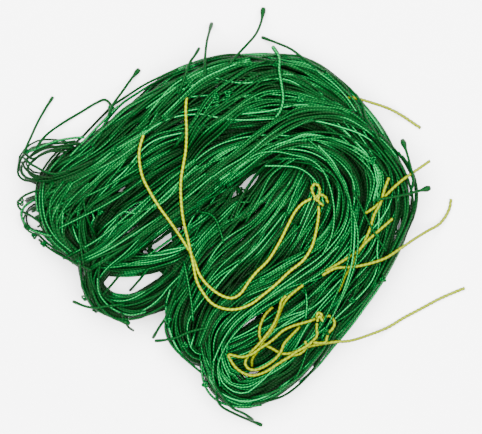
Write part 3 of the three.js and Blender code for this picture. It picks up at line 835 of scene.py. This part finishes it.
# Yellow edge cords
# The net's edge cord is three-ply and thicker than the mesh twine. Two lengths run over
# the hank to a knot, four ends come out at the right and top, and one long end lies in
# a loose tangle in the lower fold.
CORD_ROUTES = {
    "edge_cord_inner": [
        (-0.048, 0.062), (-0.0505, 0.0525), (-0.0505, 0.045), (-0.0485, 0.035), (-0.044, 0.026),
        (-0.0375, 0.0155), (-0.0295, 0.0045), (-0.0225, -0.006), (-0.0165, -0.016),
        (-0.0115, -0.0285), (-0.005, -0.0365), (0.003, -0.042), (0.0095, -0.0435),
        (0.0145, -0.041), (0.021, -0.032), (0.0255, -0.0265), (0.033, -0.019), (0.0405, -0.007),
        (0.045, 0.002), (0.0505, 0.0125), (0.0555, 0.018), (0.061, 0.021),
    ],
    "edge_cord_outer": [
        (-0.020, 0.0865), (-0.0205, 0.0785), (-0.020, 0.0655), (-0.0205, 0.0525), (-0.022, 0.043),
        (-0.0235, 0.033), (-0.0235, 0.020), (-0.022, 0.007), (-0.019, -0.006), (-0.016, -0.020),
        (-0.0135, -0.032), (-0.010, -0.039), (-0.0035, -0.047), (0.005, -0.0505),
        (0.0135, -0.0505), (0.0225, -0.047), (0.029, -0.042), (0.0375, -0.035), (0.047, -0.026),
        (0.0555, -0.019), (0.061, -0.0105), (0.064, -0.0005), (0.066, 0.012), (0.0658, 0.016),
    ],
    "edge_cord_top_end": [
        (0.084, 0.0865), (0.0885, 0.0865), (0.1025, 0.083), (0.112, 0.080), (0.120, 0.076),
        (0.127, 0.0715), (0.133, 0.0675),
    ],
    "edge_cord_end_1": [
        (0.096, 0.0115), (0.1025, 0.016), (0.109, 0.023), (0.1185, 0.032), (0.1285, 0.039),
        (0.138, 0.0455),
    ],
    "edge_cord_end_2": [
        (0.111, 0.0345), (0.108, 0.0265), (0.1055, 0.018), (0.1015, 0.0105), (0.0985, 0.0005),
        (0.0945, -0.0085), (0.0905, -0.015), (0.087, -0.023), (0.083, -0.029), (0.0805, -0.035),
        (0.0785, -0.0395),
    ],
    "edge_cord_end_3": [
        (0.1135, 0.008), (0.109, 0.004), (0.1025, -0.0015), (0.0965, -0.007), (0.0915, -0.0125),
        (0.085, -0.017), (0.0785, -0.021), (0.070, -0.026),
    ],
    "edge_cord_end_4": [
        (0.153, 0.021), (0.152, 0.015), (0.149, 0.009), (0.1445, 0.004), (0.138, 0.0005),
        (0.1285, -0.005), (0.1185, -0.0115), (0.109, -0.0175), (0.099, -0.021), (0.0895, -0.023),
        (0.083, -0.0235), (0.0765, -0.024), (0.068, -0.0285),
    ],
    "tie_long": [
        (0.162, -0.0375), (0.1545, -0.0405), (0.1445, -0.045), (0.1315, -0.052), (0.122, -0.057),
        (0.112, -0.063), (0.099, -0.068), (0.086, -0.0715), (0.0765, -0.072), (0.0665, -0.0735),
        (0.059, -0.075), (0.0525, -0.0775), (0.047, -0.0795), (0.0415, -0.0795), (0.0355, -0.0765),
        (0.030, -0.0735), (0.0275, -0.069), (0.0275, -0.0635), (0.029, -0.0585), (0.0315, -0.054),
        (0.036, -0.0495),
    ],
    "tie_fold_1": [
        (0.0555, -0.035), (0.051, -0.0385), (0.046, -0.043), (0.0425, -0.048), (0.040, -0.0545),
        (0.0375, -0.061), (0.034, -0.0665), (0.0295, -0.072), (0.0265, -0.0775), (0.0225, -0.084),
        (0.0225, -0.0885),
    ],
    "tie_fold_2": [
        (0.0445, -0.042), (0.0415, -0.0455), (0.0405, -0.050), (0.0385, -0.0565),
        (0.0355, -0.0625), (0.0315, -0.068), (0.0265, -0.074), (0.021, -0.080), (0.018, -0.086),
        (0.020, -0.0895), (0.0245, -0.0905), (0.029, -0.089), (0.034, -0.086), (0.0385, -0.082),
        (0.0415, -0.0775), (0.043, -0.0735), (0.0465, -0.0695), (0.0505, -0.0655),
        (0.0535, -0.0625),
    ],
    "tie_fold_3": [
        (0.0635, -0.057), (0.0615, -0.058), (0.055, -0.060), (0.0485, -0.062), (0.0425, -0.065),
        (0.0375, -0.0695), (0.033, -0.073), (0.0275, -0.0765), (0.0225, -0.080), (0.016, -0.082),
        (0.010, -0.081), (0.007, -0.0805), (0.009, -0.085), (0.0125, -0.0895), (0.018, -0.093),
        (0.0225, -0.094), (0.0275, -0.093), (0.033, -0.0905), (0.038, -0.087), (0.043, -0.084),
        (0.048, -0.081), (0.0535, -0.0795), (0.0575, -0.0755), (0.057, -0.0715),
    ],
    "tie_end_1": [
        (0.0645, -0.060), (0.0645, -0.063), (0.0645, -0.068), (0.0615, -0.0715), (0.057, -0.075),
        (0.0515, -0.078), (0.046, -0.082), (0.0415, -0.0845),
    ],
    "tie_end_2": [
        (0.0685, -0.057), (0.072, -0.055), (0.075, -0.057), (0.076, -0.060), (0.0745, -0.0635),
        (0.072, -0.066), (0.071, -0.069), (0.070, -0.072), (0.066, -0.0725), (0.062, -0.072),
    ],
}
# Where a ply's middle is and its radius, in shares of the cord's diameter
PLY_OUT = 0.268
PLY_RADIUS = 0.232
GROOVE = 0.62
CORD_SIDES = 18


def three_plies(angle):
    """The reach of three round plies laid together, as a share of the cord's radius."""
    sector = 2 * math.pi / 3
    off = (angle + sector / 2) % sector - sector / 2
    inside = PLY_RADIUS**2 - (PLY_OUT * np.sin(off)) ** 2
    reach = 2 * (PLY_OUT * np.cos(off) + np.sqrt(np.maximum(inside, 0)))
    return np.maximum(reach, GROOVE)


# The ends and ties have a darker tone than the two lengths on top: painted shade, for the
# ends over the pale floor that lights them
CORD_TONES = {"edge_cord_inner": 0.6, "edge_cord_outer": 0.6}
PAINTED_SHADE_END_TONE = 0.46
# The crowns of the plies stand out of the cord's even diameter
CROWN = 1.08


def add_cord(name, rows):
    """One length of the edge cord, laid on what is already there."""
    line = lay(rows, CORD / 2)
    mesh = strand_mesh(
        name, [line], [np.full(len(line), CROWN * CORD / 2)], CORD_TURN,
        [CORD_TONES.get(name, PAINTED_SHADE_END_TONE)], three_plies, CORD_SIDES,
    )
    piece = add_piece(name, mesh, yellow_cord)
    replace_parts(piece, name)
    raise_tops(line, CORD / 2)


for name, rows in CORD_ROUTES.items():
    add_cord(name, rows)

# The turns that show of the two knots, which take no part of the cords' lengths
KNOT_TURNS = {
    "edge_cord_knot": [
        [(0.065, 0.0195), (0.062, 0.025), (0.0615, 0.0285), (0.0635, 0.0305),
         (0.066, 0.029), (0.0665, 0.025), (0.0655, 0.0205)],
        [(0.063, 0.0205), (0.0665, 0.0235), (0.070, 0.0225), (0.072, 0.0185)],
        [(0.0635, 0.023), (0.0665, 0.0185), (0.069, 0.0165)],
    ],
    "tie_knot": [
        [(0.0648, -0.0565), (0.0645, -0.0545), (0.066, -0.053), (0.0675, -0.0545),
         (0.067, -0.057)],
        [(0.0648, -0.0585), (0.066, -0.0555), (0.0685, -0.0585)],
    ],
}
KNOT_STEP = 0.0005
KNOT_TONE = 0.55
for name, turns in KNOT_TURNS.items():
    lines = [lay(rows, CORD / 2, KNOT_STEP) for rows in turns]
    mesh = strand_mesh(
        name, lines, [np.full(len(line), CORD / 2) for line in lines], CORD_TURN,
        [KNOT_TONE] * len(lines), three_plies, CORD_SIDES,
    )
    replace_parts(add_piece(name, mesh, yellow_cord), name)


# Mesh knots
# Where two strands of the net meet they are tied, and some of the knots show.
KNOT_PLACES = [
    (25, 152), (20.9, 202.1), (27, 227), (33, 236), (43, 244), (84, 298), (94.1, 310.7),
    (383, 279), (276, 65), (110, 108), (304, 290), (326, 332), (262, 280), (115, 150), (100, 212),
    (216, 97), (228, 94), (150, 250), (372, 160), (352, 300), (205, 385), (185, 345), (300, 100),
    (240, 190), (168, 320),
]


def knot_line(rng, place, size):
    """An overhand knot with short ends, at rest on what is under it."""
    t = np.linspace(0.15, 2 * math.pi - 0.15, 34)
    loop = np.stack([
        np.sin(t) + 2 * np.sin(2 * t), np.cos(t) - 2 * np.cos(2 * t), -1.2 * np.sin(3 * t),
    ], axis=1) * size / 3
    turn = rng.uniform(0, 2 * math.pi)
    tip = rng.uniform(-0.5, 0.5)
    spin = np.array([
        [math.cos(turn), -math.sin(turn), 0], [math.sin(turn), math.cos(turn), 0], [0, 0, 1],
    ])
    lean = np.array([
        [1, 0, 0], [0, math.cos(tip), -math.sin(tip)], [0, math.sin(tip), math.cos(tip)],
    ])
    loop = loop @ lean.T @ spin.T
    x, y = np.array([place[0]]), np.array([place[1]])
    height = resting_height(x, y, 0.6 * TWINE)[0]
    return loop + [place[0], place[1], height + 0.25 * size]


rng = np.random.default_rng(70)
knots = [knot_line(rng, place, rng.uniform(0.0017, 0.0023)) for place in metres(KNOT_PLACES)]
tones = list(rng.uniform(0.5, 0.7, len(knots)))
add_strands("mesh_knots", knots, tones, [TWINE / 2] * len(knots))


# Loose ends of the green twine
# Where the net's knots were tied off, short tails of the twine stick out of the hank.
TWINE_ROUTES = [
    [(-0.126, 0.0505), (-0.122, 0.0605), (-0.1175, 0.0715), (-0.113, 0.080), (-0.108, 0.088)],
    [(-0.1185, 0.054), (-0.112, 0.0625), (-0.1025, 0.070), (-0.0895, 0.078), (-0.0795, 0.084),
     (-0.074, 0.086), (-0.0705, 0.083), (-0.0705, 0.0775)],
    [(-0.071, 0.075), (-0.068, 0.0825), (-0.062, 0.0915), (-0.057, 0.099), (-0.0515, 0.106)],
    [(-0.025, 0.089), (-0.021, 0.100), (-0.018, 0.109), (-0.0145, 0.1145), (-0.012, 0.119)],
    [(-0.008, 0.1015), (-0.008, 0.1125), (-0.007, 0.123), (-0.0055, 0.130), (-0.004, 0.136)],
    [(0.007, 0.107), (0.0135, 0.115), (0.019, 0.121), (0.025, 0.1285), (0.0285, 0.137),
     (0.030, 0.146)],
    [(0.0635, 0.107), (0.055, 0.113), (0.047, 0.119), (0.0375, 0.1235), (0.029, 0.127)],
    [(0.038, 0.074), (0.0405, 0.0775), (0.0425, 0.085), (0.0415, 0.095), (0.040, 0.1045),
     (0.040, 0.1125), (0.036, 0.1195)],
    [(0.1055, 0.058), (0.1005, 0.067), (0.096, 0.074), (0.094, 0.082), (0.0895, 0.089)],
    [(0.125, 0.023), (0.127, 0.033), (0.125, 0.043), (0.1225, 0.0525), (0.1205, 0.059)],
    [(0.1025, 0.020), (0.1075, 0.021), (0.1185, 0.023), (0.125, 0.0245), (0.138, 0.028)],
    [(-0.0015, -0.1045), (0.0015, -0.113), (0.0115, -0.1195), (0.029, -0.1275)],
    [(-0.0025, -0.099), (0.003, -0.107), (0.0095, -0.115), (0.018, -0.1195), (0.023, -0.1235)],
    [(-0.008, -0.063), (-0.018, -0.0655), (-0.0275, -0.0695), (-0.0355, -0.071),
     (-0.0405, -0.0715)],
    [(-0.027, -0.0385), (-0.0295, -0.045), (-0.032, -0.0535), (-0.0375, -0.062),
     (-0.042, -0.0695)],
    [(-0.0815, -0.0385), (-0.0775, -0.0475), (-0.070, -0.055), (-0.0635, -0.058),
     (-0.057, -0.060)],
    [(-0.061, -0.0475), (-0.073, -0.049), (-0.0795, -0.050), (-0.0855, -0.049),
     (-0.094, -0.046)],
]
# The tips that are tied or frayed are thick, the others are only cut
TIP_SIZES = {3: 1.9, 5: 1.5, 6: 2.0, 10: 2.2, 11: 2.3, 12: 1.5, 16: 1.8}
CUT_TIP = 1.25
TIP_PLACE = 0.002
TIP_LENGTH = 0.0028
# One end at the top is loosely twisted, so it is thick and light
LOOSE_END = 8
for number, rows in enumerate(TWINE_ROUTES, start=1):
    name = f"twine_end_{number}"
    # The other twine ends take the darker end tone, painted shade over the pale floor
    tone = 0.75 if number == LOOSE_END else PAINTED_SHADE_END_TONE
    radius = (1.5 if number == LOOSE_END else 1.2) * LOOSE_RADIUS
    line = lay(rows, TWINE / 2)
    from_tip = LAY_STEP * np.arange(len(line))[::-1]
    nearness = np.exp(-(((from_tip - TIP_PLACE) / TIP_LENGTH) ** 2))
    swell = (TIP_SIZES.get(number, CUT_TIP) - 1) * nearness
    mesh = strand_mesh(name, [line], [radius * (1 + swell)], TWINE_TURN, [tone], sides=10)
    piece = add_piece(name, mesh, green_twine)
    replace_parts(piece, name)


# Strands over the cords
# A few strands of the net lie over the ends of the yellow cord at the right, and over the
# inner parts of the loose ends at the top.
OVER_STRANDS = [
    [(262, 57), (285, 55), (300, 56), (314, 62), (330, 72), (345, 83.9), (358, 97)],
    [(325, 70), (338, 80), (348, 91), (355, 107), (363, 119.9)],
    [(318, 72), (334, 84), (346, 97), (356, 112)],
    [(326, 72), (338, 83.9), (348, 93.9), (356, 103.9), (361, 115.9)],
    [(318, 146.1), (333, 163), (345, 190.1), (353, 215), (354, 240), (351, 265), (343, 292),
     (331, 318.1), (322, 338)],
    [(326, 159.9), (340, 179.9), (350, 205), (357, 232), (356, 258.1), (348, 283.9), (338, 305),
     (326, 328)],
    [(308, 139.9), (325, 155.9), (340, 178.1), (349, 199.9), (351, 225), (350, 250.1), (341, 282.1),
     (328, 312), (318, 330.1)],
    [(352, 190.1), (356, 198.1), (363, 211.9), (369, 224), (377, 238), (386, 251)],
]
OVER_FAN = (
    9,
    [(148, 109.9), (170, 90), (190, 74), (215, 62), (247, 57)],
    [(166, 121), (185, 99.9), (205, 83), (228, 70), (253, 64)],
)
sheets = single_sheets(OVER_STRANDS) + [fan_routes(80, *OVER_FAN)]
lines, tones, radius = lay_sheets(sheets, 0.6)
add_strands("over_strands", lines, tones, [radius] * len(lines))


# Floor and light
# A plain pale surface under soft studio light.
FLOOR_HALF = 0.9
FLOOR_GAP = 0.0002
PAPER_WHITE = 0.92
WORLD_LIGHT = 0.68


def studio_floor():
    """A plain floor that runs out of the view on all sides."""
    mesh = bpy.data.meshes.new("floor")
    half = FLOOR_HALF
    corners = [(-half, -half, 0), (half, -half, 0), (half, half, 0), (-half, half, 0)]
    mesh.from_pydata(corners, [], [(0, 1, 2, 3)])
    floor = bpy.data.objects.new("floor", mesh)
    floor.location.z = -FLOOR_GAP
    bpy.context.collection.objects.link(floor)
    paper = bpy.data.materials.new("white_paper")
    paper.use_nodes = True
    surface = paper.node_tree.nodes["Principled BSDF"]
    surface.inputs["Base Color"].default_value = (PAPER_WHITE,) * 3 + (1,)
    surface.inputs["Roughness"].default_value = 0.9
    mesh.materials.append(paper)


def studio_light(name, place, size, power):
    """A square soft lamp at its place, turned to the middle of the floor."""
    light = bpy.data.lights.new(name, "AREA")
    light.shape = "SQUARE"
    light.size = size
    light.energy = power
    lamp = bpy.data.objects.new(name, light)
    lamp.location = place
    direction = -np.array(place)
    lamp.rotation_euler = (
        math.atan2(math.hypot(direction[0], direction[1]), -direction[2]),
        0,
        math.atan2(direction[1], direction[0]) - math.pi / 2,
    )
    bpy.context.collection.objects.link(lamp)


studio_floor()
studio_light("key_light", (-0.15, 0.3, 1.95), 2.8, 440)
studio_light("fill_light", (0.9, -0.5, 1.4), 0.9, 32)
world = bpy.data.worlds.new("studio")
world.use_nodes = True
world.node_tree.nodes["Background"].inputs["Color"].default_value = (1, 1, 1, 1)
world.node_tree.nodes["Background"].inputs["Strength"].default_value = WORLD_LIGHT
bpy.context.scene.world = world
